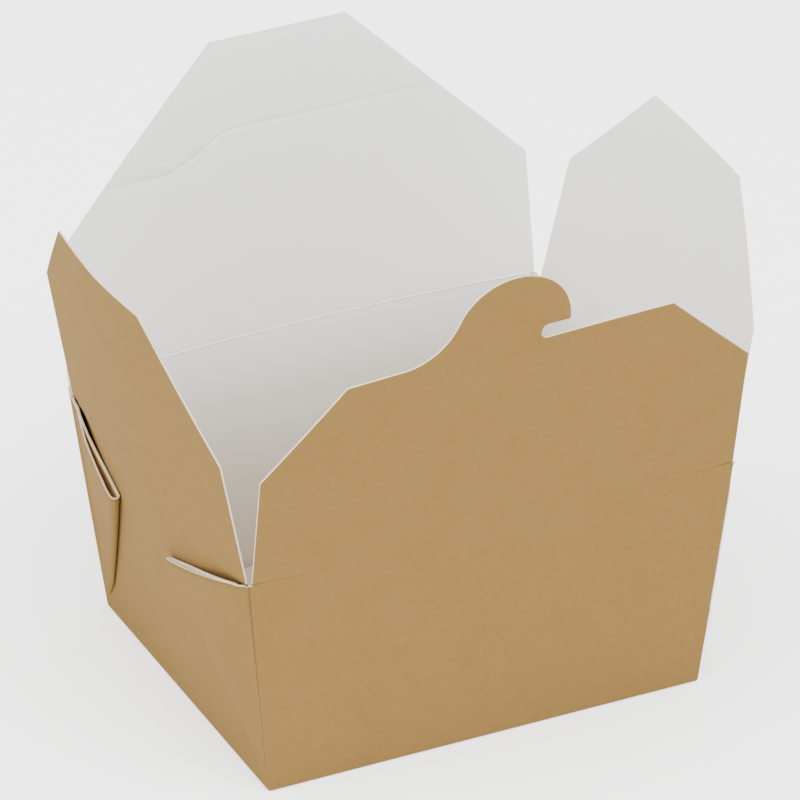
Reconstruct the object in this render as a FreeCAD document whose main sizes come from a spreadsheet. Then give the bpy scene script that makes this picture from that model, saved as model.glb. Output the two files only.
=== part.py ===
import FreeCAD, Part
import os
import re
import Sketcher

os.makedirs("parts", exist_ok=True)
doc = FreeCAD.newDocument("takeaway_box")

# Driving dimensions in mm and degrees: a folded tray that widens upwards, with a flap on each rim edge.
DIMENSIONS = {
    "card": 0.5,
    "base_length": 116.4,
    "base_width": 95.2,
    "rim_length": 129.8,
    "rim_width": 104.6,
    "wall_height": 63.5,
    "corner_round": 1.0,
    "base_fold": 0.6,
    # creases: a bead along each flap's root turns in a hollow along the wall's top
    "bead_radius": 0.45,
    "bead_clearance": 0.05,
    "end_crease_drop": 0.8,
    "end_crease_inset": 1.2,
    "long_crease_inset": 0.8,
    "crease_end_gap": 0.1,
    # webs folded flat on the outside of the end walls, each a pocket that is open at the top
    "web_corner_height": 61.8,
    "web_fold_height": 52.2,
    "web_fold_side": 15.3,
    "web_fold_standoff": 2.6,
    "web_fold_gap": 0.6,
    "web_corner_standoff": 0.9,
    "web_foot_height": 1.5,
    "web_foot_length": 2.0,
    "web_root": 0.15,
    "pocket_foot_height": 12,
    # end flaps
    "end_flap_shoulder": 35,
    "end_flap_shoulder_inset": 1.5,
    "end_flap_height": 64.1,
    "end_flap_top": 45.2,
    "left_flap_lean": 14.0,
    "right_flap_lean": 15.2,
    # front flap with the hook tab
    "front_flap_shoulder": 32.8,
    "front_flap_height": 55.6,
    "front_flap_top": 86.6,
    "front_flap_lean": 10.4,
    "tab_centre": -1.2,
    "tab_centre_height": 60.4,
    "tab_radius": 15.3,
    "tab_sweep_radius": 15,
    "tab_slot_top": 59.4,
    "tab_slot_end": 8.8,
    # back flap, with a score line in two stretches and the slit for the tab between them
    "back_flap_shoulder": 32.4,
    "back_flap_height": 78.7,
    "back_flap_top": 37.4,
    "back_flap_lean": 12.9,
    "score_low": 47.1,
    "score_high": 55.1,
    "score_depth": 0.15,
    "score_width": 0.5,
    "slit_width": 0.3,
    "slit_start": -31.4,
    "slit_bend": -18.5,
    "slit_end": -10,
    "slit_bend_height": 53.9,
}
# Sizes that follow from the driving ones.
DERIVED = {
    "end_run": "=(rim_length - base_length) / 2",
    "long_run": "=(rim_width - base_width) / 2",
    "end_crease_height": "=wall_height - end_crease_drop",
    "end_crease_reach": "=base_length / 2 + end_run * end_crease_height / wall_height - card / 2",
    "long_crease_reach": "=rim_width / 2 - card / 2",
    "end_crease_half": "=rim_width / 2 - end_crease_inset",
    "long_crease_half": "=rim_length / 2 - long_crease_inset",
    "hollow_radius": "=bead_radius + bead_clearance",
    "web_foot_x": "=base_length / 2 + end_run * web_foot_height / wall_height",
    "web_foot_y": "=base_width / 2 + long_run * web_foot_height / wall_height",
    "web_corner_x": "=base_length / 2 + end_run * web_corner_height / wall_height",
    "web_corner_y": "=base_width / 2 + long_run * web_corner_height / wall_height",
    "web_fold_x": "=base_length / 2 + end_run * web_fold_height / wall_height",
    "web_slope": "=(web_corner_height - web_fold_height) / (web_corner_y - web_fold_side)",
    "web_stretch": "=sqrt(1 + web_slope ^ 2)",
    "web_tilt": "=atan(web_slope) / 1 deg",
    "web_axis_height": "=web_fold_height - web_slope * web_fold_side",
    "pocket_share": "=pocket_foot_height / web_fold_height",
    "pocket_foot_x": "=base_length / 2 + end_run * pocket_foot_height / wall_height",
    "pocket_foot_y": "=base_width / 2 + long_run * pocket_foot_height / wall_height - 2 * card",
    "pocket_fold_y": "=base_width / 2 - (base_width / 2 - web_fold_side) * pocket_share + card",
    "slot_radius": "=(tab_slot_top - front_flap_height) / 2",
}
sheet = doc.addObject("Spreadsheet::Sheet", "Sizes")
for row, (name, content) in enumerate({**DIMENSIONS, **DERIVED}.items(), start=1):
    sheet.set(f"A{row}", name)
    sheet.set(f"B{row}", str(content))
    sheet.setAlias(f"B{row}", name)
doc.recompute()


def rule(text):
    """The same expression with each dimension's name looked up in the sheet."""
    return re.sub(r"[a-z_]+", lambda word: "Sizes." + word.group(), text)


def value(text):
    """What an expression in the sheet's dimensions comes to."""
    return float(sheet.evalExpression(text))


def origin_plane(body, role):
    """One of the body's own origin planes."""
    return next(f for f in body.Origin.OriginFeatures if f.Role == role)


def new_body(label):
    """An empty body whose label is the sub-part's name."""
    body = doc.addObject("PartDesign::Body", label)
    body.Label = label
    return body


def new_sketch(body, name, role, height="0"):
    """A sketch on one of the body's origin planes, or raised above it."""
    sketch = body.newObject("Sketcher::SketchObject", name)
    sketch.AttachmentSupport = [(origin_plane(body, role), "")]
    sketch.MapMode = "FlatFace"
    sketch.setExpression("AttachmentOffset.Base.z", rule(height))
    doc.recompute()
    return sketch


def drive(sketch, kind, items, text):
    """A dimension of a sketch that follows an expression in the sheet's dimensions."""
    index = sketch.addConstraint(Sketcher.Constraint(kind, *items, value(text)))
    sketch.setExpression(f"Constraints[{index}]", rule(text))


def join(sketch, kind, *items):
    """A constraint without a dimension."""
    sketch.addConstraint(Sketcher.Constraint(kind, *items))


def pin(sketch, edge, end, point):
    """Fixes one end of an edge at a point given as two expressions."""
    drive(sketch, "DistanceX", (-1, 1, edge, end), point[0])
    drive(sketch, "DistanceY", (-1, 1, edge, end), point[1])


def place(point):
    """A point given as two expressions, as a vector."""
    return FreeCAD.Vector(value(point[0]), value(point[1]), 0)


def line(sketch, start, end):
    """A straight edge between two vectors."""
    return sketch.addGeometry(Part.LineSegment(start, end))


def polygon(sketch, points):
    """A closed polygon through points given as pairs of expressions."""
    corners = [place(point) for point in points]
    edges = [line(sketch, a, b) for a, b in zip(corners, corners[1:] + corners[:1])]
    for edge, following, point in zip(edges, edges[1:] + edges[:1], points):
        join(sketch, "Coincident", edge, 2, following, 1)
        pin(sketch, edge, 1, point)


def rings(sketch, centres, radius):
    """Circles of one radius about centres given as pairs of expressions."""
    for centre in centres:
        full = Part.Circle(place(centre), FreeCAD.Vector(0, 0, 1), value(radius))
        ring = sketch.addGeometry(full)
        pin(sketch, ring, 3, centre)
        drive(sketch, "Radius", (ring,), radius)


def rounded_rectangle(sketch, half_x, half_y, radius):
    """A centred rectangle with round corners."""
    right = value(half_x)
    back = value(half_y)
    r = value(radius)
    edges = []
    for quarter in range(4):
        along, across = ((right, back), (back, right))[quarter % 2]
        turn = FreeCAD.Rotation(FreeCAD.Vector(0, 0, 1), 90 * quarter)
        side = [turn.multVec(FreeCAD.Vector(along, end * (across - r), 0)) for end in (-1, 1)]
        bend = turn.multVec(FreeCAD.Vector(along, across, 0))
        centre = turn.multVec(FreeCAD.Vector(along - r, across - r, 0))
        middle = centre + (bend - centre).normalize() * r
        last = turn.multVec(FreeCAD.Vector(along - r, across, 0))
        edges.append(line(sketch, *side))
        edges.append(sketch.addGeometry(Part.Arc(side[1], middle, last)))
    for edge, following in zip(edges, edges[1:] + edges[:1]):
        join(sketch, "Tangent", edge, 2, following, 1)
    for bend in edges[3::2]:
        join(sketch, "Equal", edges[1], bend)
    join(sketch, "Vertical", edges[0])
    join(sketch, "Horizontal", edges[2])
    join(sketch, "Symmetric", edges[1], 3, edges[5], 3, -1, 1)
    drive(sketch, "Radius", (edges[1],), radius)
    drive(sketch, "DistanceX", (-1, 1, edges[0], 1), half_x)
    drive(sketch, "DistanceY", (-1, 1, edges[2], 1), half_y)


def loft(body, name, kind, *sketches):
    """A straight-sided loft through sketches, from the lowest up."""
    feature = body.newObject("PartDesign::" + kind, name)
    feature.Profile = sketches[0]
    feature.Sections = list(sketches[1:])
    feature.Ruled = True
    return feature


def both_ways(body, name, kind, sketch, length):
    """A pad or pocket that runs half its length to each side of its sketch."""
    feature = body.newObject("PartDesign::" + kind, name)
    feature.Profile = sketch
    feature.Midplane = True
    feature.setExpression("Length", rule(length))
    return feature


def check_cut(body, make, *details):
    """Makes a cut and stops the build if it took nothing away."""
    doc.recompute()
    before = body.Shape.Volume
    feature = make(body, *details)
    doc.recompute()
    if not 1 < body.Shape.Volume < before - 1e-3:
        raise RuntimeError(feature.Name + " cut nothing")
    return feature


def tray_ring(body, name, height, inset):
    """The tray's outline at a height, inset from the outer faces."""
    sketch = new_sketch(body, name, "XY_Plane", height)
    half_x = f"base_length / 2 + end_run * ({height}) / wall_height - ({inset})"
    half_y = f"base_width / 2 + long_run * ({height}) / wall_height - ({inset})"
    rounded_rectangle(sketch, half_x, half_y, f"corner_round - ({inset})")
    return sketch


def add_webs(body):
    """The folded web in one corner, then its mirror images in the other three."""
    foot_points = [
        ("-(web_foot_x + card)", "-web_foot_y"),
        ("-(web_foot_x + 1.2 * card)", "-(web_foot_y - web_foot_length)"),
        ("-(web_foot_x - web_root)", "-(web_foot_y - web_foot_length)"),
        ("-(web_foot_x - web_root)", "-(web_foot_y - web_foot_length / 2)"),
        ("-(web_foot_x - web_root)", "-web_foot_y"),
    ]
    top_points = [
        ("-(web_corner_x + web_corner_standoff)", "-web_corner_y"),
        ("-(web_fold_x + web_fold_standoff)", "-web_fold_side"),
        ("-(web_fold_x + web_fold_gap)", "-web_fold_side"),
        ("-(web_corner_x - web_root)", "-(web_corner_y - 2 * card)"),
        ("-(web_corner_x - web_root)", "-web_corner_y"),
    ]
    pocket_foot_points = [
        ("-(pocket_foot_x + 0.9 * card)", "-pocket_foot_y"),
        ("-(pocket_foot_x + 0.95 * card)", "-pocket_fold_y"),
        ("-(pocket_foot_x + 0.8 * card)", "-pocket_fold_y"),
        ("-(pocket_foot_x + 0.8 * card)", "-pocket_foot_y"),
    ]
    pocket_top_points = [
        ("-(web_corner_x + card)", "-(web_corner_y - 1.3 * card)"),
        ("-(web_fold_x + web_fold_standoff - card)", "-(web_fold_side + card)"),
        ("-(web_fold_x + web_fold_gap + card)", "-(web_fold_side + card)"),
        ("-(web_corner_x + 0.6 * card)", "-(web_corner_y - 1.3 * card)"),
    ]
    features = []
    for name, kind, foot_height, low, high in (
        ("web", "AdditiveLoft", "web_foot_height", foot_points, top_points),
        ("web_pocket", "SubtractiveLoft", "pocket_foot_height", pocket_foot_points, pocket_top_points),
    ):
        foot = new_sketch(body, name + "_foot", "XY_Plane", foot_height)
        polygon(foot, low)
        # The top section lies on a plane that drops towards the fold.
        top = new_sketch(body, name + "_top", "XY_Plane", "web_axis_height")
        offset = top.AttachmentOffset
        offset.Rotation = FreeCAD.Rotation(FreeCAD.Vector(-1, 0, 0), value("web_tilt"))
        top.AttachmentOffset = offset
        top.setExpression("AttachmentOffset.Rotation.Angle", rule("web_tilt") + " * 1 deg")
        polygon(top, [(x, f"{y} * web_stretch") for x, y in high])
        features.append(loft(body, name, kind, foot, top))
    pattern = body.newObject("PartDesign::MultiTransform", "webs")
    pattern.Originals = features
    mirrors = []
    for role in ("XZ_Plane", "YZ_Plane"):
        mirror = body.newObject("PartDesign::Mirrored", "webs_over_" + role[:2])
        mirror.MirrorPlane = (origin_plane(body, role), [""])
        mirrors.append(mirror)
    pattern.Transformations = mirrors
    body.Tip = pattern


def lower_end_tops(body):
    """The end walls stop lower than the long ones, so that their flaps close underneath."""
    sketch = new_sketch(body, "end_top_notch", "YZ_Plane")
    half = "end_crease_half + crease_end_gap"
    polygon(sketch, [
        (f"-({half})", "end_crease_height"),
        (half, "end_crease_height"),
        (half, "wall_height + 1"),
        (f"-({half})", "wall_height + 1"),
    ])
    check_cut(body, both_ways, "end_tops", "Pocket", sketch, "rim_length + 20")


def hollow_wall_tops(body):
    """A round hollow along each wall's top, in which the flap's root bead turns."""
    for name, role, reach, height, half in (
        ("end_hollows", "XZ_Plane", "end_crease_reach", "end_crease_height", "end_crease_half"),
        ("long_hollows", "YZ_Plane", "long_crease_reach", "wall_height", "long_crease_half"),
    ):
        sketch = new_sketch(body, name + "_rings", role)
        rings(sketch, [("-" + reach, height), (reach, height)], "hollow_radius")
        check_cut(body, both_ways, name, "Pocket", sketch, f"2 * ({half} + crease_end_gap)")


def build_tray():
    """Base, four walls and four folded corner webs: one sheet of card."""
    body = new_body("tray")
    foot = tray_ring(body, "tray_foot", "0", "card")
    fold = tray_ring(body, "tray_fold", "base_fold", "0")
    rim = tray_ring(body, "tray_rim", "wall_height", "0")
    loft(body, "tray_block", "AdditiveLoft", foot, fold, rim)
    floor = tray_ring(body, "tray_floor", "card", "card")
    mouth = tray_ring(body, "tray_mouth", "wall_height", "card")
    check_cut(body, loft, "tray_inside", "SubtractiveLoft", floor, mouth)
    add_webs(body)
    lower_end_tops(body)
    hollow_wall_tops(body)
    return body


def add_bead(body, role, half):
    """The raised crease along a flap's root, centred on its hinge line."""
    sketch = new_sketch(body, body.Name + "_bead_ring", role)
    rings(sketch, [("0", "0")], "bead_radius")
    both_ways(body, body.Name + "_bead", "Pad", sketch, "2 * " + half)


def place_on_crease(body, axis, side, reach, height, lean):
    """Puts a flap's root on its crease and leans the flap outwards."""
    turn = {"x": FreeCAD.Vector(0, side, 0), "y": FreeCAD.Vector(-side, 0, 0)}[axis]
    body.Placement = FreeCAD.Placement(FreeCAD.Vector(0, 0, 0), FreeCAD.Rotation(turn, value(lean)))
    body.setExpression("Placement.Base." + axis, f"{side} * " + rule(reach))
    body.setExpression("Placement.Base.z", rule(height))
    body.setExpression("Placement.Rotation.Angle", rule(lean) + " * 1 deg")


def build_end_flap(label, side):
    """An end flap: upright sides below the shoulders, then a narrower top."""
    body = new_body(label)
    sketch = new_sketch(body, label + "_outline", "YZ_Plane")
    shoulder = "end_crease_half - end_flap_shoulder_inset"
    polygon(sketch, [
        ("-end_crease_half", "0"),
        ("end_crease_half", "0"),
        (shoulder, "end_flap_shoulder"),
        ("end_flap_top / 2", "end_flap_height"),
        ("-end_flap_top / 2", "end_flap_height"),
        (f"-({shoulder})", "end_flap_shoulder"),
    ])
    both_ways(body, label + "_card", "Pad", sketch, "card")
    add_bead(body, "XZ_Plane", "end_crease_half")
    place_on_crease(body, "x", side, "end_crease_reach", "end_crease_height", label + "_lean")
    return body


def draw_hook_tab(sketch, right_edge, left_edge, top_right, top_left):
    """The hook tab above the flap's top edge, between the edge's two outer corners."""
    height = value("front_flap_height")
    head = place(("tab_centre", "tab_centre_height"))
    head_radius = value("tab_radius")
    sweep_radius = value("tab_sweep_radius")
    rise = height + sweep_radius - head.y
    run = ((head_radius + sweep_radius) ** 2 - rise ** 2) ** 0.5
    sweep = FreeCAD.Vector(head.x - run, height + sweep_radius, 0)
    meet = head + (sweep - head).normalize() * head_radius
    slot = place(("tab_slot_end", "front_flap_height + slot_radius"))
    slot_radius = value("slot_radius")
    up = FreeCAD.Vector(0, slot_radius, 0)
    tip_drop = head.y - value("tab_slot_top")
    tip = FreeCAD.Vector(head.x + (head_radius ** 2 - tip_drop ** 2) ** 0.5, head.y - tip_drop, 0)
    crown = head + FreeCAD.Vector(0, head_radius, 0)
    foot = sweep - FreeCAD.Vector(0, sweep_radius, 0)
    between = (meet - sweep).normalize() + FreeCAD.Vector(0, -1, 0)

    top_edge = line(sketch, top_right, slot - up)
    slot_arc = sketch.addGeometry(
        Part.Arc(slot - up, slot - FreeCAD.Vector(slot_radius, 0, 0), slot + up))
    lip = line(sketch, slot + up, tip)
    head_arc = sketch.addGeometry(Part.Arc(tip, crown, meet))
    sweep_middle = sweep + between.normalize() * sweep_radius
    sweep_arc = sketch.addGeometry(Part.Arc(meet, sweep_middle, foot))
    far_edge = line(sketch, foot, top_left)

    head_starts, head_ends = 1, 2
    sweep_starts, sweep_ends = 2, 1
    slot_starts, slot_ends = 2, 1
    join(sketch, "Coincident", right_edge, 2, top_edge, 1)
    join(sketch, "Tangent", top_edge, 2, slot_arc, slot_starts)
    join(sketch, "Tangent", slot_arc, slot_ends, lip, 1)
    join(sketch, "Coincident", lip, 2, head_arc, head_starts)
    join(sketch, "Tangent", head_arc, head_ends, sweep_arc, sweep_starts)
    join(sketch, "Tangent", sweep_arc, sweep_ends, far_edge, 1)
    join(sketch, "Coincident", far_edge, 2, left_edge, 1)
    return top_edge, slot_arc, lip, head_arc, sweep_arc, far_edge


def build_front_flap():
    """The front flap, whose hook tab slips into the back flap's slit."""
    body = new_body("front_flap")
    sketch = new_sketch(body, "front_flap_outline", "XZ_Plane")
    right = [
        ("long_crease_half", "0"),
        ("long_crease_half", "front_flap_shoulder"),
        ("front_flap_top / 2", "front_flap_height"),
    ]
    left = [("-" + x, y) for x, y in reversed(right)]
    points = left[1:] + right
    corners = [place(point) for point in points]
    edges = [line(sketch, a, b) for a, b in zip(corners, corners[1:])]
    last = line(sketch, place(left[0]), corners[0])
    for edge, following in zip(edges, edges[1:]):
        join(sketch, "Coincident", edge, 2, following, 1)
    join(sketch, "Coincident", last, 2, edges[0], 1)
    for edge, point in zip(edges, points):
        pin(sketch, edge, 1, point)
    pin(sketch, edges[-1], 2, points[-1])
    pin(sketch, last, 1, left[0])
    tab = draw_hook_tab(sketch, edges[-1], last, corners[-1], place(left[0]))
    top_edge, slot_arc, lip, head_arc, sweep_arc, far_edge = tab
    join(sketch, "Horizontal", top_edge)
    join(sketch, "Horizontal", far_edge)
    join(sketch, "Horizontal", lip)
    pin(sketch, head_arc, 3, ("tab_centre", "tab_centre_height"))
    drive(sketch, "Radius", (head_arc,), "tab_radius")
    drive(sketch, "Radius", (sweep_arc,), "tab_sweep_radius")
    drive(sketch, "Radius", (slot_arc,), "slot_radius")
    drive(sketch, "DistanceX", (-1, 1, slot_arc, 3), "tab_slot_end")
    both_ways(body, "front_flap_card", "Pad", sketch, "card")
    add_bead(body, "YZ_Plane", "long_crease_half")
    place_on_crease(body, "y", -1, "long_crease_reach", "wall_height", "front_flap_lean")
    return body


def score_back_flap(body):
    """The score line's two stretches on the inside, and the slit that joins them."""
    stretches = (
        ("score_left", "-long_crease_half", "slit_start", "score_low"),
        ("score_right", "slit_end", "long_crease_half", "score_high"),
    )
    for name, start, end, height in stretches:
        sketch = new_sketch(body, name + "_outline", "XZ_Plane", "card / 2")
        low = f"{height} - score_width / 2"
        high = f"{height} + score_width / 2"
        polygon(sketch, [(start, low), (end, low), (end, high), (start, high)])
        doc.recompute()
        before = body.Shape.Volume
        cut = body.newObject("PartDesign::Pocket", name)
        cut.Profile = sketch
        cut.setExpression("Length", rule("score_depth"))
        doc.recompute()
        if not body.Shape.Volume < before - 1e-3:
            raise RuntimeError(name + " cut nothing")
    sketch = new_sketch(body, "slit_outline", "XZ_Plane")
    lower = [
        ("slit_start", "score_low"),
        ("slit_bend", "slit_bend_height"),
        ("slit_end", "score_high"),
    ]
    upper = [(x, f"{y} + slit_width") for x, y in reversed(lower)]
    polygon(sketch, lower + upper)
    check_cut(body, both_ways, "slit", "Pocket", sketch, "4 * card")


def build_back_flap():
    """The back flap, with its score line and the slit for the front flap's tab."""
    body = new_body("back_flap")
    sketch = new_sketch(body, "back_flap_outline", "XZ_Plane")
    polygon(sketch, [
        ("-long_crease_half", "0"),
        ("long_crease_half", "0"),
        ("long_crease_half", "back_flap_shoulder"),
        ("back_flap_top / 2", "back_flap_height"),
        ("-back_flap_top / 2", "back_flap_height"),
        ("-long_crease_half", "back_flap_shoulder"),
    ])
    both_ways(body, "back_flap_card", "Pad", sketch, "card")
    add_bead(body, "YZ_Plane", "long_crease_half")
    score_back_flap(body)
    place_on_crease(body, "y", 1, "long_crease_reach", "wall_height", "back_flap_lean")
    return body


bodies = [
    build_tray(),
    build_end_flap("left_flap", -1),
    build_end_flap("right_flap", 1),
    build_front_flap(),
    build_back_flap(),
]
doc.recompute()

for item in doc.Objects:
    if "Invalid" in item.State or "Error" in item.State:
        raise RuntimeError(item.Name + " has state " + ", ".join(item.State))
for body in bodies:
    shape = body.Shape
    if shape.isNull() or not shape.isValid():
        raise RuntimeError(body.Label + " has no valid shape")
    shape.exportStep("parts/" + body.Label + ".step")
    print(body.Label, round(shape.Volume, 1), "mm3", shape.BoundBox)
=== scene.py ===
import logging
import math
from dataclasses import dataclass, field
from enum import Enum
from typing import Callable

import bpy
from mathutils import Euler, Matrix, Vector


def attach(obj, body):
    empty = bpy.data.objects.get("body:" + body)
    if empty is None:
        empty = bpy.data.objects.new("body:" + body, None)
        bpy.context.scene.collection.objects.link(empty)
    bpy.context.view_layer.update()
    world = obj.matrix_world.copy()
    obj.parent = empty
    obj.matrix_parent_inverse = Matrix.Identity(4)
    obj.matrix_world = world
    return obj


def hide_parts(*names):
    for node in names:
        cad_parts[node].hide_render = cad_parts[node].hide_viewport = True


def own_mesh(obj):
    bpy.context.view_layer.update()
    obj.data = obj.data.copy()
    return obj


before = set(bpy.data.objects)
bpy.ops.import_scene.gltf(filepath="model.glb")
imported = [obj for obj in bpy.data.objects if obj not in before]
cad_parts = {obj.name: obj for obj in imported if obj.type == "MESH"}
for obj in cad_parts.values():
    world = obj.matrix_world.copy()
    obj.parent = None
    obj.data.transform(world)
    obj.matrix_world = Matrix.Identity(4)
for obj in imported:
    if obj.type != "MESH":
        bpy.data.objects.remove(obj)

MM = 0.001
log = logging.getLogger("takeaway_box")

Place = Callable[[float, float], Vector]


class Face(Enum):
    """The faces a piece of this card shows, in the order of its material slots."""

    KRAFT = 0
    COATED = 1
    CUT_EDGE = 2
    # the coated face tinted tan as painted shade, for the inside of the webs' folds
    PAINTED_SHADE_POCKET = 3


class Side(Enum):
    """The four sides of the box: name, outward direction and direction along the wall."""

    LEFT = ("left", (-1.0, 0.0), (0.0, 1.0))
    RIGHT = ("right", (1.0, 0.0), (0.0, 1.0))
    FRONT = ("front", (0.0, -1.0), (1.0, 0.0))
    BACK = ("back", (0.0, 1.0), (1.0, 0.0))

    @property
    def word(self) -> str:
        """The side's name."""
        return self.value[0]

    @property
    def outward(self) -> Vector:
        """The level direction that points out of the box."""
        return Vector((*self.value[1], 0.0))

    def point(self, along: float, out: float, height: float) -> Vector:
        """Gives a place in metres from its distances along the wall, outward and up, in mm."""
        outward, run = self.value[1], self.value[2]
        return Vector((outward[0] * out + run[0] * along, outward[1] * out + run[1] * along, height)) * MM


def smooth(value: float) -> float:
    """Eases a share from 0 to 1, held at both ends."""
    share = min(1.0, max(0.0, value))
    return share * share * (3 - 2 * share)


def between(table: tuple, at: float) -> float:
    """Reads a value between the pairs of a short table.

    Args:
        table: pairs of place and value, in rising order of place.
        at: the place to read.

    Returns:
        The value there, in a straight line from pair to pair.
    """
    for (low, first), (high, last) in zip(table, table[1:]):
        if at <= high:
            return first + (last - first) * min(1.0, max(0.0, (at - low) / (high - low)))
    return table[-1][1]


def tune(node: bpy.types.Node, values: dict) -> None:
    """Sets a node's inputs by their names."""
    for name, value in values.items():
        node.inputs[name].default_value = value


class Bench:
    """The work bench: starts pieces, shapes them with Blender's operators and finishes them."""

    @staticmethod
    def clear() -> None:
        """Leaves edit mode and deselects everything."""
        if bpy.context.object and bpy.context.object.mode != "OBJECT":
            bpy.ops.object.mode_set(mode="OBJECT")
        bpy.ops.object.select_all(action="DESELECT")

    @staticmethod
    def edit(piece: bpy.types.Object) -> None:
        """Opens a piece in edit mode."""
        Bench.clear()
        bpy.context.view_layer.objects.active = piece
        bpy.ops.object.mode_set(mode="EDIT")

    @staticmethod
    def named(name: str) -> bpy.types.Object:
        """Names the piece that was just added."""
        piece = bpy.context.object
        piece.name = name
        piece.data.name = name
        return piece

    @staticmethod
    def grid(name: str, columns: int, rows: int) -> bpy.types.Object:
        """Adds a flat grid from 0 to 1 along both of its sides.

        Args:
            name: the piece's name.
            columns: cells along the first side.
            rows: cells along the second side.

        Returns:
            The new piece.
        """
        Bench.clear()
        bpy.ops.mesh.primitive_grid_add(x_subdivisions=columns, y_subdivisions=rows, size=1,
                                        location=(0.5, 0.5, 0))
        piece = Bench.named(name)
        bpy.ops.object.transform_apply()
        return piece

    @staticmethod
    def fold(piece: bpy.types.Object, place: Place) -> None:
        """Folds flat card into shape: each point goes from its flat place to its place on the box.

        Args:
            piece: the flat piece, drawn in its own first two axes.
            place: gives the folded place of a flat one.
        """
        for corner in piece.data.vertices:
            corner.co = place(corner.co.x, corner.co.y)
        piece.data.update()

    @staticmethod
    def settle(piece: bpy.types.Object, corner: Vector, shift: Vector, height: float) -> None:
        """Lets one lower corner of a finished sheet settle outward, less and less with the distance from it.

        Args:
            piece: the sheet, with its place in the mesh.
            corner: the corner at the floor that moves.
            shift: how far it moves.
            height: the height at which the sheet is at its drawn place again.
        """
        for point in piece.data.vertices:
            along = min(1.0, max(0.0, (point.co.x / corner.x + 1) / 2))
            deep = min(1.0, max(0.0, (point.co.y / corner.y + 1) / 2))
            low = max(0.0, 1 - point.co.z / height)
            point.co += shift * along * deep * low
        piece.data.update()

    @staticmethod
    def face_outward(piece: bpy.types.Object, outward: Vector, at: Vector | None = None) -> None:
        """Turns the kraft face of an open sheet outward.

        Args:
            piece: the sheet.
            outward: the direction the kraft face looks at.
            at: the place whose face is tested, or none for the average of all faces.
        """
        faces = piece.data.polygons
        if at is None:
            turn = sum((face.normal * face.area for face in faces), Vector()).dot(outward)
        else:
            turn = min(faces, key=lambda face: (face.center - at).length).normal.dot(outward)
        if turn < 0:
            Bench.edit(piece)
            bpy.ops.mesh.select_all(action="SELECT")
            bpy.ops.mesh.flip_normals()
            bpy.ops.object.mode_set(mode="OBJECT")

    @staticmethod
    def pick(piece: bpy.types.Object, wanted: Callable[[Vector, Vector], bool]) -> None:
        """Selects faces by their centre and normal."""
        bpy.ops.mesh.select_all(action="DESELECT")
        bpy.ops.object.mode_set(mode="OBJECT")
        for face in piece.data.polygons:
            face.select = wanted(face.center, face.normal)
        bpy.ops.object.mode_set(mode="EDIT")
        bpy.ops.mesh.select_mode(type="FACE")

    @staticmethod
    def pick_edges(piece: bpy.types.Object, wanted: Callable[[Vector, Vector], bool]) -> None:
        """Selects edges by their middle and direction."""
        bpy.ops.mesh.select_mode(type="EDGE")
        bpy.ops.mesh.select_all(action="DESELECT")
        bpy.ops.object.mode_set(mode="OBJECT")
        points = piece.data.vertices
        for edge in piece.data.edges:
            first, last = (points[number].co for number in edge.vertices)
            edge.select = wanted((first + last) / 2, (last - first).normalized())
        bpy.ops.object.mode_set(mode="EDIT")

    @staticmethod
    def score(piece: bpy.types.Object, line: tuple, width: float, reach: float, past: float = 0.7) -> None:
        """Divides a flat piece along a drawn line, so that the line can be pressed into it.

        Args:
            piece: the flat piece.
            line: the line's corners, in mm.
            width: how far the pressed line's edges lie from it, in mm.
            reach: how far from the line the divided faces may lie, in mm.
            past: share of reach by which they may lie past the line's ends.
        """
        Bench.edit(piece)
        for first, last in zip(line, line[1:]):
            start, end = Vector((*first, 0)), Vector((*last, 0))
            length = (end - start).length
            run = (end - start).normalized()
            across = Vector((-run.y, run.x, 0))
            for side in (-width, 0.0, width):
                Bench.pick(piece, lambda centre, normal: abs((centre - start).dot(across)) < reach
                           and -reach * past < (centre - start).dot(run) < length + reach * past)
                bpy.ops.mesh.bisect(plane_co=start + across * side, plane_no=across)
        bpy.ops.object.mode_set(mode="OBJECT")

    @staticmethod
    def shade(piece: bpy.types.Object) -> None:
        """Shades the piece smooth."""
        Bench.clear()
        piece.select_set(True)
        bpy.context.view_layer.objects.active = piece
        bpy.ops.object.shade_smooth()

    @staticmethod
    def thicken(piece: bpy.types.Object, thickness: float, edge: float, rim: Face = Face.CUT_EDGE,
                even: bool = True, inside: Face = Face.COATED, angle: float = 40.0) -> None:
        """Gives a sheet its card thickness inward and softens its cut edges.

        Args:
            piece: the sheet, whose faces look outward.
            thickness: the card's thickness, in mm.
            edge: how far the cut edges are rounded, in mm; none for a sheet that folds on itself.
            rim: the face that the cut edges show.
            even: whether the thickness is evened out at bends.
            inside: the face that the sheet's other side shows.
            angle: the smallest angle of an edge that is rounded, in degrees.
        """
        Bench.shade(piece)
        bpy.ops.object.modifier_add(type="SOLIDIFY")
        card = piece.modifiers[-1]
        card.thickness = thickness * MM
        card.offset = -1.0
        card.use_even_offset = even
        card.material_offset = inside.value
        card.material_offset_rim = rim.value
        if not edge:
            return
        bpy.ops.object.modifier_add(type="BEVEL")
        bevel = piece.modifiers[-1]
        bevel.width = edge * MM
        bevel.segments = 2
        bevel.limit_method = "ANGLE"
        bevel.angle_limit = math.radians(angle)
        bevel.harden_normals = True


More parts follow.
